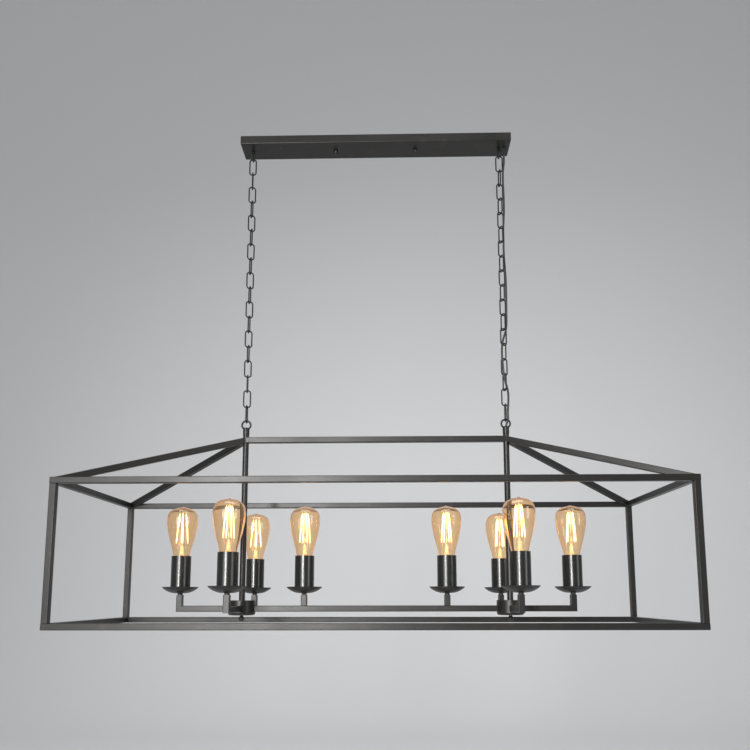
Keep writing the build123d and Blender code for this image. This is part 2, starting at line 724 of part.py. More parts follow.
def socket_body(x, y):
    """Insulating socket on the nipple, bored for the screw shell."""
    low = SLEEVE_FLOOR + SLEEVE_WALL
    body = cylinder(SOCKET_DIAMETER, low, SHELL_TOP, x, y)
    body -= cylinder(SOCKET_BORE, SHELL_BOTTOM, SHELL_TOP + 1, x, y)
    return body - cylinder(NIPPLE_DIAMETER + 2 * SLIP, low - 1, DISH_Z + NIPPLE_ABOVE + 1, x, y)


def socket_shell(x, y):
    """Thin brass screw shell with a closed contact end."""
    shell = cylinder(SHELL_DIAMETER, SHELL_BOTTOM, SHELL_TOP - 0.5, x, y)
    return shell - cylinder(SHELL_DIAMETER - 2 * SHELL_WALL, SHELL_BOTTOM + SHELL_WALL, SHELL_TOP, x, y)


def glass_envelope():
    """Blown glass: neck, long taper, widest below a low dome with a sealed tip."""
    # (radius, height above the base) of the outside
    top = BULB_LENGTH - BASE_LENGTH
    outside = [
        (BULB_NECK_RADIUS, -1.0),
        (BULB_NECK_RADIUS + 1.2, 2.5),
        (16.8, 10.0),
        (19.7, 22.7),
        (25.6, 44.0),
        (30.2, 66.0),
        (BULB_RADIUS, 85.5),
        (30.6, 96.0),
        (26.0, 105.0),
        (17.0, 111.2),
        (6.0, 113.6),
    ]
    inside = [(r - BULB_GLASS, z - 0.75 * BULB_GLASS * (z > BULB_DOME_START)) for r, z in outside[:-1]]
    inside_top = top - 3.4
    wall = [
        Spline(*outside),
        Line(outside[-1], (1.6, top)),
        Line((1.6, top), (0, top)),
        Line((0, top), (0, inside_top)),
        Spline(*([(0, inside_top), (5.0, inside_top - 0.3)] + inside[::-1])),
        Line(inside[0], outside[0]),
    ]
    profile = make_face([Plane.XZ * edge for edge in wall])
    return revolve(profile, Axis.Z)


def screw_base():
    """Brass base with rounded screw ribs, black insulator and centre contact."""
    rim = BASE_DIAMETER / 2
    root = rim - BASE_THREAD_DEPTH
    step = BASE_SHELL / (2 * BASE_THREADS + 2)
    points = [(0, 0), (BULB_NECK_RADIUS - BULB_GLASS - 0.2, 0), (rim, 0), (rim, -step)]
    for turn in range(BASE_THREADS):
        points.append((root, -step * (2 * turn + 2)))
        points.append((rim, -step * (2 * turn + 3)))
    points.append((root, -BASE_SHELL))
    points.append((BASE_CONTACT * 0.75, -BASE_LENGTH + 2.5))
    points.append((BASE_CONTACT / 2, -BASE_LENGTH + 0.6))
    points.append((BASE_CONTACT / 2 - 1, -BASE_LENGTH))
    points.append((0, -BASE_LENGTH))
    base = turned(points)
    # the neck of the glass is cemented in a groove in the base
    groove = turned(
        [
            (BULB_NECK_RADIUS - BULB_GLASS - 0.1, 1),
            (BULB_NECK_RADIUS - BULB_GLASS - 0.1, -1.2),
            (rim + 1, -1.2),
            (rim + 1, 1),
        ]
    )
    return base - groove


def stick(start, end, radius):
    """Straight round stick between two points."""
    return Plane(origin=start, z_dir=end - start) * extrude(Circle(radius), amount=(end - start).length)


def filament_mount():
    """Glass stem with a centre post, two spiders and four long filaments."""
    waist = (STEM_RADIUS * 0.59, STEM_HEIGHT * 0.4)
    shoulder = (STEM_RADIUS * 0.38, STEM_HEIGHT * 0.87)
    mount = turned([(0, 0), (STEM_RADIUS, 0), waist, shoulder, (0, STEM_HEIGHT)])
    mount += cylinder(POST_DIAMETER, STEM_HEIGHT * 0.67, FILAMENT_HIGH + 1.5)
    low_centre = Vector(0, 0, FILAMENT_LOW - 6)
    high_centre = Vector(0, 0, FILAMENT_HIGH + 1)
    low = Vector(FILAMENT_LOW_RADIUS, 0, FILAMENT_LOW)
    high = Vector(FILAMENT_HIGH_RADIUS, 0, FILAMENT_HIGH)
    for quarter in range(4):
        turn = Rot(0, 0, 45 + 90 * quarter)
        mount += turn * stick(low, high, FILAMENT_DIAMETER / 2)
        mount += turn * stick(low_centre, low, SPOKE_RADIUS)
        mount += turn * stick(high_centre, high, SPOKE_RADIUS)
    return mount


def bulb(x, y):
    """One lamp bulb: glass, base and filament mount as three solids."""
    place = Pos(x, y, BULB_SHOULDER)
    return [place * glass_envelope(), place * screw_base(), place * filament_mount()]


# ---------------------------------------------------------------- every node
def make_parts():
    """Fill the table of nodes: name to one shape or a list of separate solids."""
    parts["canopy"] = canopy()
    parts["mounting_strap"] = mounting_strap()
    parts["canopy_studs"] = canopy_studs()
    parts["fixing_nuts"] = fixing_nuts()
    parts["cap_nuts"] = cap_nuts()
    parts["canopy_eyes"] = canopy_eyes()
    parts["cord_bushing"] = cord_bushing()
    parts["wire_connectors"] = wire_connectors()

    last = LINK_COUNT - 1
    for name, side in SIDES.items():
        x = side * ROD_X
        parts[f"top_link_{name}"] = links(0, 0, x)
        parts[f"chain_{name}"] = links(1, last - 1, x)
        parts[f"bottom_link_{name}"] = links(last, last, x)
        parts[f"rod_{name}"] = rod(side)
        parts[f"outer_arm_{name}"] = placed_arm(side, 0 if side > 0 else 180)
        parts[f"cross_arms_{name}"] = [placed_arm(side, -90), placed_arm(side, 90)]
        parts[f"top_rail_{name}"] = rail_along_y(side, CAGE_TOP - BAR)
        parts[f"bottom_rail_{name}"] = rail_along_y(side, CAGE_BOTTOM)
        for depth, y_side in {"front": -1, "rear": 1}.items():
            parts[f"corner_post_{depth}_{name}"] = corner_post(side, y_side)
            parts[f"hip_bar_{depth}_{name}"] = hip_bar(side, y_side)
    for depth, y_side in {"front": -1, "rear": 1}.items():
        parts[f"top_rail_{depth}"] = rail_along_x(y_side, CAGE_TOP - BAR)
        parts[f"bottom_rail_{depth}"] = rail_along_x(y_side, CAGE_BOTTOM)

    outlet, upper, along_chain, lower, inlet = cord_pieces()
    parts["lamp_cord_outlet"] = [outlet] + stripped_leads()
    parts["lamp_cord_upper"] = upper
    parts["lamp_cord"] = along_chain
    parts["lamp_cord_lower"] = lower
    parts["lamp_cord_inlet"] = inlet

    parts["rod_rings"] = rod_rings()
    parts["ridge_bar"] = ridge_bar()
    parts["hubs"] = [hub(side) for side in SIDES.values()]
    parts["hub_covers"] = hub_covers()
    parts["finials"] = finials()
    parts["centre_arm"] = centre_arm()

    parts["socket_nipples"] = [nipple(x, y) for x, y in LAMP_PLACES]
    parts["drip_dishes"] = [dish(x, y) for x, y in LAMP_PLACES]
    parts["socket_sleeves"] = [sleeve(x, y) for x, y in LAMP_PLACES]
    parts["sockets"] = [socket_body(x, y) for x, y in LAMP_PLACES]
    parts["socket_shells"] = [socket_shell(x, y) for x, y in LAMP_PLACES]
    for number, (x, y) in enumerate(LAMP_PLACES, start=1):
        parts[f"bulb_{number}"] = bulb(x, y)


def write_parts():
    """Write one STEP file per node."""
    os.makedirs("parts", exist_ok=True)
    for name, shape in parts.items():
        solids = []
        for piece in shape if isinstance(shape, list) else [shape]:
            solids.extend(piece.solids())
        whole = solids[0] if len(solids) == 1 else Compound(children=solids)
        export_step(whole, f"parts/{name}.step")
    print(f"{len(parts)} nodes")
    print(f"swing pivots {SWING_TOP_Z:.2f} {SWING_BOTTOM_Z:.2f}")
    print(f"sway pivots {SWAY_TOP_Z:.2f} {SWAY_BOTTOM_Z:.2f}")


make_parts()
write_parts()
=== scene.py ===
import json
import math

import bmesh
import bpy
import mathutils
import numpy as np
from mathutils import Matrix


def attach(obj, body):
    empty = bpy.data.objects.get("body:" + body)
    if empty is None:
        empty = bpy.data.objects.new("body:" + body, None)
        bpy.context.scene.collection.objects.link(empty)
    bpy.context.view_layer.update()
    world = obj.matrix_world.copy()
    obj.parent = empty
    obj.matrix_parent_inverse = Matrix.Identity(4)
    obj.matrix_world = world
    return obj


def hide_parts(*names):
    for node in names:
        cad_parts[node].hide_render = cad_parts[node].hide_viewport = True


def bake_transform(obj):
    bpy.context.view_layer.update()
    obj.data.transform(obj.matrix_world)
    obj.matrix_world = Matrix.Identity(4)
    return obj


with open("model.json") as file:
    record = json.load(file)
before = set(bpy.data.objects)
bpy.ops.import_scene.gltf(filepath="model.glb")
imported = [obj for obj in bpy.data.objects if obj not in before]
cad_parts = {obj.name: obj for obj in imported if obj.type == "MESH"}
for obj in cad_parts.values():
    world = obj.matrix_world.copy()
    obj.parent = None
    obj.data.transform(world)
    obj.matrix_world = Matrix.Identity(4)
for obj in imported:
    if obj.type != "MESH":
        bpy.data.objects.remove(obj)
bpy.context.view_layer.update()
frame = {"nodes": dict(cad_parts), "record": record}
nodes = frame["nodes"]

# ---------------------------------------------------------------- sizes, in metres, as in the solids
MM = 0.001
CAGE_BOTTOM = -1.100
ROD_X = 0.283
ARM_REACH = 0.132
BULB_TIP = 0.2534
BULB_LENGTH = 0.142
BASE_LENGTH = 0.0265
BULB_SHOULDER = CAGE_BOTTOM + BULB_TIP - BULB_LENGTH + BASE_LENGTH
GLASS_WALL = 0.0008
FILAMENT_RADIUS = 0.00115
WIRE_RADIUS = 0.00028
CORD_RADIUS = 0.00225
CORD_OVERLAP = 0.0008
LEAD_RADIUS = 0.0006
FLOOR_HEIGHT = -1.75
LAMP_PLACES = [
    (-ROD_X - ARM_REACH, 0.0),
    (-ROD_X, -ARM_REACH),
    (-ROD_X, ARM_REACH),
    (-ROD_X + ARM_REACH, 0.0),
    (ROD_X - ARM_REACH, 0.0),
    (ROD_X, ARM_REACH),
    (ROD_X, -ARM_REACH),
    (ROD_X + ARM_REACH, 0.0),
]
# how far each bulb's filaments are turned, in degrees
BULB_TURNS = [12, 38, 5, 31, 22, 48, 16, 41]


# ---------------------------------------------------------------- shader maths
class Value:
    """A socket whose operators add Math nodes; plain numbers are worked out in Python."""

    def __init__(self, tree, socket):
        self.tree = tree
        self.socket = socket

    def _math(self, operation, *values):
        return self.tree.add("ShaderNodeMath", {"operation": operation}, dict(enumerate(values)))

    def __add__(self, other):
        return self._math("ADD", self, other)

    __radd__ = __add__

    def __sub__(self, other):
        return self._math("SUBTRACT", self, other)

    def __mul__(self, other):
        return self._math("MULTIPLY", self, other)

    def __truediv__(self, other):
        return self._math("DIVIDE", self, other)

    def __pow__(self, other):
        return self._math("POWER", self, other)

    def clamped(self):
        """The value held between 0 and 1."""
        return self.tree.add("ShaderNodeClamp", {}, {0: self})


class Finish:
    """A material built from nodes: one method adds any node, another sets the shader's sockets."""

    def __init__(self, name):
        self.material = bpy.data.materials.new(name)
        self.material.use_nodes = True
        self.tree = self.material.node_tree
        self.shader = self.tree.nodes["Principled BSDF"]

    def add(self, kind, settings, values, output=0):
        """Any node by its type, its settings, and the values or links of its sockets."""
        node = self.tree.nodes.new(kind)
        for key, value in settings.items():
            setattr(node, key, value)
        for key, value in values.items():
            self.link(value, node.inputs[key])
        return Value(self, node.outputs[output])

    def link(self, value, socket):
        """A link to a socket from another node's value, or a plain value on it."""
        if isinstance(value, Value):
            self.tree.links.new(value.socket, socket)
        else:
            socket.default_value = value

    def set(self, **values):
        """Sockets of the shader by name, with underscores for spaces."""
        for key, value in values.items():
            self.link(value, self.shader.inputs[key.replace("_", " ")])

    def place(self):
        """Object coordinates, in metres of the row frame."""
        return self.add("ShaderNodeTexCoord", {}, {}, "Object")

    def noise(self, vector, scale, detail=2.0, roughness=0.5, stretch=(1, 1, 1)):
        """Noise between 0 and 1 over a stretched vector."""
        vector = self.add("ShaderNodeVectorMath", {"operation": "MULTIPLY"}, {0: vector, 1: stretch})
        settings = {"noise_dimensions": "3D"}
        values = {"Vector": vector, "Scale": scale, "Detail": detail, "Roughness": roughness}
        return self.add("ShaderNodeTexNoise", settings, values, "Fac")

    def spread(self, value, low, high):
        """The value stretched so that low becomes 0 and high becomes 1, held there."""
        return ((value - low) / (high - low)).clamped()

    def mix(self, share, first, second):
        """Mix of two colours."""
        node = self.tree.nodes.new("ShaderNodeMix")
        node.data_type = "RGBA"
        self.link(share, node.inputs[0])
        for colour, socket in ((first, node.inputs[6]), (second, node.inputs[7])):
            self.link(colour if isinstance(colour, Value) else (*colour, 1), socket)
        return Value(self, node.outputs[2])

    def bump(self, height, distance, strength):
        """Normal bent by a height that is worth a distance in metres."""
        values = {"Height": height, "Distance": distance, "Strength": strength}
        return self.add("ShaderNodeBump", {}, values, "Normal")


def powder_coat(name, base, worn, roughness, shine=0.5):
    """Satin black coating: fine orange-peel bump, cloudy sheen and a faint brown rub."""
    finish = Finish(name)
    place = finish.place()
    cloud = finish.noise(place, 9.0, 3.0)
    grain = finish.noise(place, 900.0, 2.0)
    peel = finish.noise(place, 260.0, 1.0)
    rub = finish.spread(finish.noise(place, 42.0, 5.0, 0.65), 0.56, 0.78)
    colour = finish.mix(rub * 0.55, base, worn)
    dull = finish.spread(cloud, 0.3, 0.7)
    finish.set(
        Base_Color=colour,
        Metallic=0.35,
        Roughness=roughness + dull * 0.09 + grain * 0.08,
        Specular_IOR_Level=shine,
        Normal=finish.bump(peel * 0.7 + grain * 0.3, 0.00012, 0.5),
    )
    return finish.material


def zinc_plate():
    """Bright zinc on hidden steel: grey with cloudy crystal patches."""
    finish = Finish("zinc_plate")
    place = finish.place()
    patch = finish.noise(place, 160.0, 4.0, 0.7)
    colour = finish.mix(patch, (0.42, 0.43, 0.44), (0.68, 0.68, 0.66))
    finish.set(
        Base_Color=colour,
        Metallic=0.95,
        Roughness=patch * 0.25 + 0.25,
        Normal=finish.bump(patch, 0.0001, 0.3),
    )
    return finish.material


def moulded_plastic(name, colour, roughness):
    """Moulded plastic with a fine spark texture."""
    finish = Finish(name)
    grain = finish.noise(finish.place(), 1400.0, 2.0)
    finish.set(
        Base_Color=finish.mix(grain * 0.3, colour, tuple(c * 1.6 for c in colour)),
        Roughness=grain * 0.15 + roughness,
        Normal=finish.bump(grain, 0.00008, 0.4),
    )
    return finish.material


def cord_sheath():
    """Smooth vinyl sheath with slight handling marks along its length."""
    finish = Finish("cord_sheath")
    marks = finish.noise(finish.place(), 120.0, 3.0, 0.6)
    finish.set(
        Base_Color=finish.mix(marks, (0.012, 0.012, 0.012), (0.03, 0.03, 0.03)),
        Roughness=marks * 0.2 + 0.32,
        Normal=finish.bump(marks, 0.0001, 0.25),
    )
    return finish.material


def plated(name, low, high, roughness):
    """Plated brass or nickel of lamp bases, a little tarnished."""
    finish = Finish(name)
    stain = finish.noise(finish.place(), 240.0, 4.0, 0.6)
    finish.set(
        Base_Color=finish.mix(stain, low, high),
        Metallic=1.0,
        Roughness=stain * 0.2 + roughness,
    )
    return finish.material


def amber_glass():
    """Amber-coated clear glass, its colour darker towards the rims as painted shade, with a painted orange
    glow at the rims.
    """
    finish = Finish("amber_glass")
    edge = finish.add("ShaderNodeLayerWeight", {}, {"Blend": 0.35}, "Facing")
    wave = finish.noise(finish.place(), 40.0, 2.0)
    finish.set(
        # painted shade: the amber is darkened towards the glass's rims by the facing weight
        Base_Color=finish.mix(edge ** 1.5, (1.0, 0.85, 0.64), (0.70, 0.34, 0.13)),
        Roughness=0.02,
        IOR=1.47,
        Transmission_Weight=1.0,
        # painted glow: an orange emission on the glass that grows towards its rims
        Emission_Color=finish.mix(edge ** 2.0, (0.05, 0.02, 0.008), (1.0, 0.50, 0.24)),
        Emission_Strength=0.16,
        Normal=finish.bump(wave, 0.0003, 0.15),
    )
    return finish.material


def clear_glass():
    """Glass of the stem inside a bulb, with a painted warm glow."""
    finish = Finish("stem_glass")
    finish.set(
        Base_Color=(1.0, 0.93, 0.80, 1),
        Roughness=finish.noise(finish.place(), 300.0, 2.0) * 0.08 + 0.03,
        IOR=1.5,
        Transmission_Weight=1.0,
        # painted glow: the stem glass is given a warm emission of its own
        Emission_Color=(1.0, 0.70, 0.36, 1),
        Emission_Strength=0.45,
    )
    return finish.material


def glowing_filament():
    """Glowing stick: white-hot along its middle, orange at its edges, mottled along its length."""
    finish = Finish("glowing_filament")
    beads = finish.noise(finish.place(), 700.0, 1.0, 0.5, (0.3, 0.3, 1.6))
    edge = finish.add("ShaderNodeLayerWeight", {}, {"Blend": 0.5}, "Facing")
    core = finish.mix(finish.spread(beads, 0.35, 0.65), (1.0, 0.62, 0.28), (1.0, 0.84, 0.56))
    finish.set(
        Base_Color=(1.0, 0.75, 0.35, 1),
        Roughness=0.6,
        Emission_Color=finish.mix(finish.spread(edge, 0.12, 0.65), core, (0.20, 0.065, 0.010)),
        Emission_Strength=5.5,
    )
    return finish.material


BLACK = powder_coat("black_satin", (0.014, 0.013, 0.012), (0.045, 0.036, 0.028), 0.30)
CHAIN_BLACK = powder_coat("chain_black", (0.012, 0.011, 0.010), (0.055, 0.042, 0.030), 0.32)
SLEEVE_BLACK = powder_coat("sleeve_black", (0.010, 0.010, 0.009), (0.018, 0.016, 0.014), 0.16, 0.85)
ZINC = zinc_plate()
PLASTIC = moulded_plastic("black_plastic", (0.014, 0.014, 0.014), 0.42)
CORD = cord_sheath()
BRASS = plated("brass", (0.55, 0.36, 0.13), (0.80, 0.58, 0.26), 0.22)
NICKEL = plated("nickel", (0.50, 0.49, 0.46), (0.74, 0.72, 0.68), 0.2)
AMBER = amber_glass()
STEM = clear_glass()
FILAMENT = glowing_filament()

SLOT_FINISHES = {
    "black_satin": BLACK,
    "zinc": ZINC,
    "black_plastic": PLASTIC,
    "cord_sheath": CORD,
    "brass": BRASS,
    "amber_glass": AMBER,
}
OWN_FINISHES = {"socket_sleeves": SLEEVE_BLACK, "socket_nipples": PLASTIC}
for side in ("left", "right"):
    for links in ("top_link", "chain", "bottom_link"):
        OWN_FINISHES[f"{links}_{side}"] = CHAIN_BLACK
for entry in frame["record"]["subparts"]:
    node = nodes[entry["node"]]
    finish = OWN_FINISHES.get(entry["node"], SLOT_FINISHES[entry["material_slot"]])
    node.data.materials.clear()
    node.data.materials.append(finish)


# ---------------------------------------------------------------- surfaces
def turned_outwards(mesh):
    """Doubles merged and faces turned outwards on a closed mesh."""
    work = bmesh.new()
    work.from_mesh(mesh)
    bmesh.ops.remove_doubles(work, verts=work.verts, dist=1e-7)
    bmesh.ops.recalc_face_normals(work, faces=work.faces)
    work.to_mesh(mesh)
    work.free()


def piece(name, points, faces, material, body):
    """A closed mesh from point and face arrays, riding on a body if one is given."""
    mesh = bpy.data.meshes.new(name)
    mesh.from_pydata(points.reshape(-1, 3).tolist(), [], faces)
    mesh.materials.append(material)
    mesh.polygons.foreach_set("use_smooth", np.ones(len(mesh.polygons), bool))
    mesh.update()
    turned_outwards(mesh)
    made = bpy.data.objects.new(name, mesh)
    bpy.context.collection.objects.link(made)
    if body:
        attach(made, body)
    return made


def grid_faces(rows, columns, wrap_rows=False):
    """Quads of a grid whose columns close on themselves, its rows too where wrapped."""
    last = rows if wrap_rows else rows - 1
    row, column = np.meshgrid(np.arange(last), np.arange(columns), indexing="ij")
    after = (column + 1) % columns
    below = (row + 1) % rows
    here, there = row * columns, below * columns
    corners = (here + column, here + after, there + after, there + column)
    return np.stack(corners, -1).reshape(-1, 4).tolist()


def lathe(profile, steps):
    """Surface of revolution: each (radius, height) becomes (r cos t, r sin t, z) for t round the axis."""
    angle = np.arange(steps) / steps * 2 * math.pi
    radius, height = np.asarray(profile, float).T
    grid = np.empty((len(radius), steps, 3))
    grid[..., 0] = radius[:, None] * np.cos(angle)
    grid[..., 1] = radius[:, None] * np.sin(angle)
    grid[..., 2] = height[:, None]
    return grid


def smooth_curve(points, count):
    """Points of a natural-looking curve through given ones, by a cubic Hermite with chord tangents."""
    points = np.asarray(points, float)
    chord = np.r_[0, np.cumsum(np.linalg.norm(np.diff(points, axis=0), axis=1))]
    slope = np.gradient(points, chord, axis=0)
    where = np.linspace(0, chord[-1], count)
    index = np.clip(np.searchsorted(chord, where, "right") - 1, 0, len(points) - 2)
    span = (chord[index + 1] - chord[index])[:, None]
    t = (where - chord[index])[:, None] / span
    placed = points[index] * (2 * t**3 - 3 * t**2 + 1) + points[index + 1] * (3 * t**2 - 2 * t**3)
    return placed + span * (slope[index] * (t**3 - 2 * t**2 + t) + slope[index + 1] * (t**3 - t**2))


def tube(path, radius, steps):
    """Round tube: rings of the given radius in planes square to the path, carried without twist."""
    path = np.asarray(path, float)
    along = np.gradient(path, axis=0)
    along /= np.linalg.norm(along, axis=1, keepdims=True)
    guide = np.array([0.31, 0.95, 0.05])
    side = guide - (along @ guide)[:, None] * along
    side /= np.linalg.norm(side, axis=1, keepdims=True)
    other = np.cross(along, side)
    angle = np.arange(steps) / steps * 2 * math.pi
    radius = np.broadcast_to(np.asarray(radius, float), (len(path),))[:, None, None]
    cosine, sine = (turn(angle)[None, :, None] for turn in (np.cos, np.sin))
    ring = side[:, None] * cosine + other[:, None] * sine
    return path[:, None] + radius * ring


def joined(grids):
    """Several column-closed grids as one point array and face list, their open ends capped."""
    points, faces, start = [], [], 0
    for grid in grids:
        rows, columns = grid.shape[:2]
        points.append(grid.reshape(-1, 3))
        faces += [[start + i for i in face] for face in grid_faces(rows, columns)]
        faces.append([start + i for i in range(columns)][::-1])
        faces.append([start + (rows - 1) * columns + i for i in range(columns)])
        start += rows * columns
    return np.vstack(points), faces


# ---------------------------------------------------------------- bulbs
# outside of the glass as (radius, height above the base), in millimetres
GLASS_OUTSIDE = [
    (13.0, -0.9),
    (13.5, 1.0),
    (14.6, 4.0),
    (16.9, 10.5),
    (19.7, 22.7),
    (22.8, 33.5),
    (25.7, 44.0),
    (28.3, 55.0),
    (30.3, 66.0),
    (31.6, 76.0),
    (31.95, 85.5),
    (31.4, 92.5),
    (29.6, 99.0),
    (26.0, 104.7),
    (20.5, 108.8),
    (13.5, 111.5),
    (7.2, 112.9),
    (4.1, 113.6),
    (2.6, 114.5),
    (1.3, 115.3),
    (0.05, 115.5),
]


def threaded(radius, depth, pitch, low, high, rows, steps):
    """Round thread: radius less depth times (1 - (1 + cos(2 pi z / pitch - t)) / 2), faded at the ends."""
    height = np.linspace(low, high, rows)[:, None]
    angle = np.arange(steps)[None, :] / steps * 2 * math.pi
    fade = np.clip(np.minimum(height - low, high - height) / pitch * 1.6, 0, 1)
    wave = 0.5 + 0.5 * np.cos(2 * math.pi * (height / pitch) - angle)
    r = radius - depth * (1 - fade * wave)
    return np.stack([r * np.cos(angle), r * np.sin(angle), height + 0 * angle], -1)


# the other surfaces of a bulb, also in millimetres
BASE_TOP = [(11.8, -0.1), (12.9, -0.6), (13.1, -1.6)]
BASE_FOOT = [(12.1, -17.6), (10.8, -18.6), (9.0, -20.6)]
INSULATOR = [(8.9, -20.3), (8.0, -22.6), (5.4, -25.0), (4.6, -25.2)]
CONTACT = [(4.5, -25.1), (4.1, -26.0), (2.2, -26.5), (0.2, -26.5)]
# flared glass stem that narrows to a pinch, with a thin post above it
STEM_OUTSIDE = [
    (9.5, 0.5),
    (7.4, 5),
    (4.6, 13),
    (3.4, 22),
    (3.1, 29),
    (1.6, 32),
    (0.7, 33.5),
    (0.6, 60),
    (0.6, 104),
    (0.4, 105),
]
# a filament's ends and the points of its two wires, as (radius, height)
FILAMENT_FOOT = (11.8, 36.0)
FILAMENT_HEAD = (6.2, 101.0)
FILAMENT_BOW = 0.6
LOW_WIRE = [(1.2, 30.0), (5.0, 31.0), (10.2, 33.5), (11.8, 37.2)]
HIGH_WIRE = [(0.4, 103.5), (3.0, 104.0), (5.5, 103.0), (6.2, 99.8)]


def glass_wall():
    """Closed wall of the glass: the outer curve, and an inner one a wall's thickness along its normals."""
    tip_radius, crown_radius, crown_rise = 0.0045, 0.00005, 0.0003
    outside = smooth_curve(GLASS_OUTSIDE, 72) * MM
    inward = np.stack([-np.gradient(outside[:, 1]), np.gradient(outside[:, 0])], -1)
    inward /= np.linalg.norm(inward, axis=1, keepdims=True)
    # the tip is solid glass: the inner wall closes in a low crown below it
    inside = (outside + inward * GLASS_WALL)[outside[:, 0] > tip_radius]
    crown = [[crown_radius, inside[-1, 1] + crown_rise]]
    return lathe(np.vstack([outside, crown, inside[::-1]]), 64)


def screw_shell():
    """Threaded shell of the base between its foot and its top."""
    rows, steps = 72, 48
    shell = threaded(0.0132, depth=0.0010, pitch=0.0036, low=-0.0172, high=-0.0022, rows=rows, steps=steps)
    top = lathe(np.array(BASE_TOP) * MM, steps)
    foot = lathe(np.array(BASE_FOOT) * MM, steps)
    return np.concatenate([foot[::-1], shell, top[::-1]])


def filaments_and_wires(turn):
    """Four slightly bowed sticks round the post, and the two wires that hold each of them."""
    sticks, wires = [], []
    share = np.linspace(0, 1, 24)[:, None]
    # the sticks narrow over their ends, down to a least share of their radius
    narrowing, least = 14, 0.35
    ends = np.clip(np.minimum(share, 1 - share)[:, 0] * narrowing, least, 1)
    for quarter in range(4):
        angle = math.radians(turn + 90 * quarter)
        outwards = np.array([[math.cos(angle), math.sin(angle), 0], [0, 0, 1]]) * MM
        foot = np.array(FILAMENT_FOOT) @ outwards
        head = np.array(FILAMENT_HEAD) @ outwards
        bow = outwards[0] * FILAMENT_BOW * np.sin(share * math.pi)
        sticks.append(tube(foot + (head - foot) * share + bow, FILAMENT_RADIUS * ends, 14))
        for points, count in ((LOW_WIRE, 14), (HIGH_WIRE, 12)):
            wires.append(tube(smooth_curve(np.array(points) @ outwards, count), WIRE_RADIUS, 8))
    return sticks, wires


def make_bulb(number, x, y, turn):
    """Glass, screw base, stem with wires, and four glowing sticks of one bulb."""
    body = f"bulb_{number}"
    place = np.array([x, y, BULB_SHOULDER])
    wall = glass_wall()
    quads = grid_faces(len(wall), wall.shape[1], True)
    glass = piece(f"{body}_glass", wall + place, quads, AMBER, body)
    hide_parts(f"bulb_{number}")

    sticks, wires = filaments_and_wires(turn)
    insulator = lathe(np.array(INSULATOR[::-1]) * MM, 40)
    contact = lathe(np.array(CONTACT[::-1]) * MM, 32)
    stem = lathe(smooth_curve(STEM_OUTSIDE, 60) * MM, 28)
    for name, grids, finish, slot in (
        ("base", [screw_shell()], NICKEL, "brass"),
        ("insulator", [insulator], PLASTIC, "black_plastic"),
        ("contact", [contact], BRASS, "brass"),
        ("stem", [stem], STEM, "amber_glass"),
        ("filaments", sticks, FILAMENT, "amber_glass"),
        ("wires", wires, NICKEL, "brass"),
    ):
        points, quads = joined(grids)
        piece(f"{body}_{name}", points + place, quads, finish, body)


for number, ((x, y), turn) in enumerate(zip(LAMP_PLACES, BULB_TURNS), start=1):
    make_bulb(number, x, y, turn)


# ---------------------------------------------------------------- lamp cord
# route beside the right chain: offsets in x from the chain, then y and z, in millimetres
CORD_ROUTE = [
    (-128.0, 0.0, -15.2),
    (-95.0, 3.0, -15.3),
    (-62.0, 5.0, -14.6),
    (-38.0, 3.5, -10.5),
    (-13.0, 0.8, -5.5),
    (11.4, 0.0, -4.9),
    (11.4, 0.0, -42.0),
    (11.0, -2.5, -58.0),
    (8.0, -4.3, -75.1),
    (7.0, -4.8, -92.3),
    (7.2, -4.3, -109.5),
    (7.9, -3.4, -126.7),
    (8.3, -2.7, -143.9),
    (8.3, -2.2, -161.1),
    (8.0, -2.1, -178.3),
    (6.9, -2.0, -195.5),
    (5.7, -2.0, -212.7),
    (5.3, -1.9, -229.9),
    (5.5, -1.7, -247.1),
    (5.1, -1.6, -264.3),
    (5.4, -1.7, -281.5),
    (6.2, -2.1, -298.7),
    (7.0, -2.6, -315.9),
    (7.7, -2.9, -333.1),
    (8.0, -3.0, -350.3),
    (8.1, -2.8, -367.5),
    (8.0, -2.4, -384.7),
    (7.9, -1.7, -401.9),
    (7.7, -0.9, -419.1),
    (7.6, -0.6, -436.3),
    (6.3, -1.4, -453.5),
    (0.7, -4.1, -470.7),
    (-4.2, -6.7, -487.9),
    (-5.6, -7.4, -505.1),
    (-5.3, -7.7, -522.3),
    (-3.8, -7.8, -539.5),
    (-2.7, -6.1, -556.7),
    (0.9, -2.4, -573.9),
    (5.8, -3.3, -591.1),
    (6.8, -5.3, -608.3),
    (5.6, -6.9, -625.5),
    (4.1, -7.3, -641.0),
    (4.3, -7.0, -651.0),
    (4.7, -4.9, -661.5),
    (0.0, 0.0, -671.0),
    (0.0, 0.0, -691.0),
]
# heights at which the cord is parted into pieces, half-way between the chain's pivots
CORD_PARTS = [0.0, -0.0560, -0.3500, -0.6410, -0.7200]


def cord_line():
    """Centreline of the cord: points read from a quadratic NURBS spline with the route as control points."""
    curve = bpy.data.curves.new("cord_line", "CURVE")
    curve.dimensions = "3D"
    spline = curve.splines.new("NURBS")
    spline.points.add(len(CORD_ROUTE) - 1)
    for point, (x, y, z) in zip(spline.points, CORD_ROUTE):
        point.co = (ROD_X + x * MM, y * MM, z * MM, 1)
    spline.order_u = 3
    spline.use_endpoint_u = True
    spline.resolution_u = 10
    holder = bpy.data.objects.new("cord_line", curve)
    mesh = bpy.data.meshes.new_from_object(holder)
    line = np.empty(len(mesh.vertices) * 3)
    mesh.vertices.foreach_get("co", line)
    bpy.data.objects.remove(holder)
    return line.reshape(-1, 3)


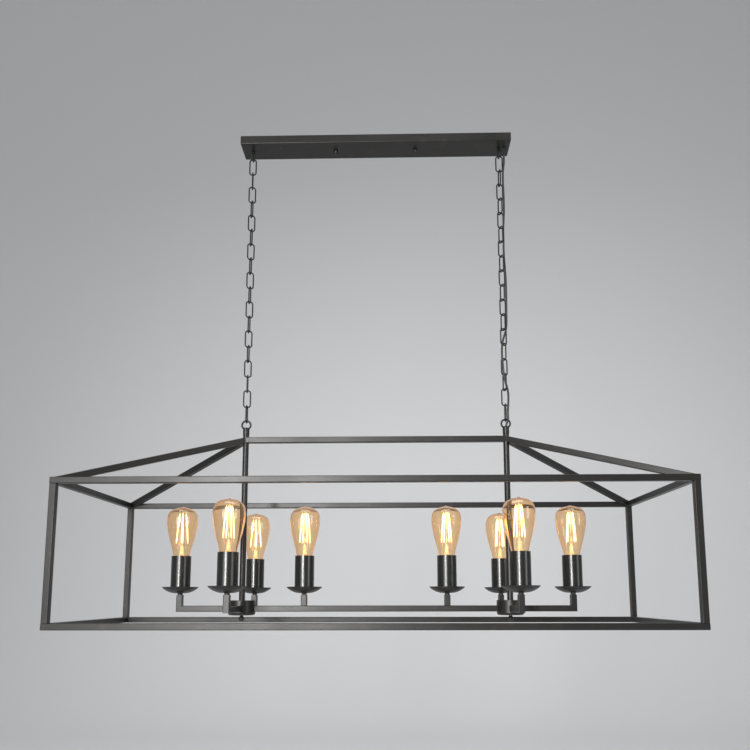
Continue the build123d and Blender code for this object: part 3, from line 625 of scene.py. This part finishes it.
def make_cord():
    """Four tubes, each spanning one pivot of the chain."""
    line = cord_line()
    crossings = [
        ("root", "top_link_right", -0.030, -0.050, ("lamp_cord_outlet",)),
        ("top_link_right", "chain_right", -0.063, -0.084, ("lamp_cord_upper", "lamp_cord")),
        ("chain_right", "bottom_link_right", -0.614, -0.634, ("lamp_cord_lower",)),
        ("bottom_link_right", "cage", -0.650, -0.6645, ("lamp_cord_inlet",)),
    ]
    # the stretch inside the canopy, before the cord's highest point, belongs to the first tube
    past_canopy = np.arange(len(line)) > np.argmax(line[:, 2])
    for index, (first, second, start, end, replaced) in enumerate(crossings):
        high, low = CORD_PARTS[index], CORD_PARTS[index + 1]
        keep = (line[:, 2] <= high + CORD_OVERLAP) & (line[:, 2] >= low - CORD_OVERLAP) & past_canopy
        if index == 0:
            keep |= ~past_canopy
        points, quads = joined([tube(line[keep], CORD_RADIUS, 16)])
        made = piece(f"cord_{index + 1}", points, quads, CORD, None)
        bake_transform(made)
        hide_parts(*replaced)


make_cord()


def make_leads():
    """Three stripped leads from the cord's end in the canopy to the connectors."""
    leads = []
    for side in (-1, 0, 1):
        route = [(154.7, 1.2, -15.2), (150.0, 1.8, -15.0), (143.0, 8.55, -14.0), (133.0, 9.0, -14.0)]
        path = np.array(route) * (MM, MM * side, MM)
        leads.append(tube(smooth_curve(path, 24), LEAD_RADIUS, 8))
    points, quads = joined(leads)
    piece("cord_leads", points, quads, PLASTIC, "root")


make_leads()


# ---------------------------------------------------------------- studio
def make_floor():
    """Pale floor under the object that rises behind it in one curve."""
    start, bend, behind, radius, top, half_width = -6, 2.2, 3.7, 1.5, 6.0, 7
    turn = np.linspace(0.05, 1.57, 24)
    depth = np.concatenate([np.linspace(start, bend, 30), bend + radius * np.sin(turn), [behind]])
    height = np.concatenate([np.zeros(30), radius * (1 - np.cos(turn)), [top]]) + FLOOR_HEIGHT
    across = np.linspace(-half_width, half_width, 2)
    grid = np.stack(np.broadcast_arrays(across[None, :], depth[:, None], height[:, None]), -1)
    rows = len(depth)
    quads = [[2 * r, 2 * r + 1, 2 * r + 3, 2 * r + 2] for r in range(rows - 1)]
    mesh = bpy.data.meshes.new("floor")
    mesh.from_pydata(grid.reshape(-1, 3).tolist(), [], quads)
    finish = Finish("floor")
    finish.set(Base_Color=(0.80, 0.80, 0.80, 1), Roughness=0.9)
    mesh.materials.append(finish.material)
    mesh.polygons.foreach_set("use_smooth", np.ones(len(mesh.polygons), bool))
    made = bpy.data.objects.new("floor", mesh)
    bpy.context.collection.objects.link(made)


make_floor()


def area_light(name, place, target, size, power, spread=180):
    """Soft rectangular lamp aimed at a point, its light kept within a spread in degrees."""
    lamp = bpy.data.lights.new(name, "AREA")
    lamp.shape = "RECTANGLE"
    lamp.size, lamp.size_y = size
    lamp.energy = power
    lamp.spread = math.radians(spread)
    holder = bpy.data.objects.new(name, lamp)
    bpy.context.collection.objects.link(holder)
    holder.location = place
    direction = np.array(target) - np.array(place)
    holder.rotation_euler = mathutils.Vector(direction.tolist()).to_track_quat("-Z", "Y").to_euler()


CAGE_MIDDLE = (0, 0, -0.9)
area_light("soft_left", (-1.4, -3.0, -0.4), CAGE_MIDDLE, (1.5, 1.7), 36)
area_light("strip", (-0.76, -3.0, -0.6), CAGE_MIDDLE, (0.32, 1.7), 15, 70)
area_light("fill_right", (2.8, -1.8, -0.4), CAGE_MIDDLE, (1.0, 1.8), 20)
area_light("top", (0, -0.4, 1.6), CAGE_MIDDLE, (2.4, 1.4), 40)

world = bpy.data.worlds.new("studio")
bpy.context.scene.world = world
world.use_nodes = True
background = world.node_tree.nodes["Background"]
background.inputs["Color"].default_value = (0.9, 0.92, 0.95, 1)
background.inputs["Strength"].default_value = 0.38


# ---------------------------------------------------------------- camera
def make_camera():
    """Camera as found from the corners of the cage, canopy and lamps."""
    pitch, yaw, roll = (math.radians(degrees) for degrees in (7.811, 1.116, -0.085))
    ahead = math.cos(pitch)
    forward = np.array([-math.sin(yaw) * ahead, math.cos(yaw) * ahead, math.sin(pitch)])
    level = np.array([math.cos(yaw), math.sin(yaw), 0])
    upright = np.cross(level, forward)
    right = level * math.cos(roll) + upright * math.sin(roll)
    up = upright * math.cos(roll) - level * math.sin(roll)
    # focal length and middle of the view, in pixels of a square picture
    picture, focal, centre_x, centre_y = 750, 700.09, 383.70, 499.89
    lens = bpy.data.cameras.new("camera")
    lens.sensor_width = 36
    lens.lens = focal / picture * lens.sensor_width
    lens.shift_x = (picture / 2 - centre_x) / picture
    lens.shift_y = (centre_y - picture / 2) / picture
    camera = bpy.data.objects.new("camera", lens)
    bpy.context.collection.objects.link(camera)
    turn = mathutils.Matrix([right.tolist(), up.tolist(), (-forward).tolist()]).transposed()
    place = mathutils.Matrix.Translation((0.046469, -1.490526, -1.038067))
    camera.matrix_world = place @ turn.to_4x4()
    bpy.context.scene.camera = camera


make_camera()
bpy.context.scene.view_settings.view_transform = "Standard"
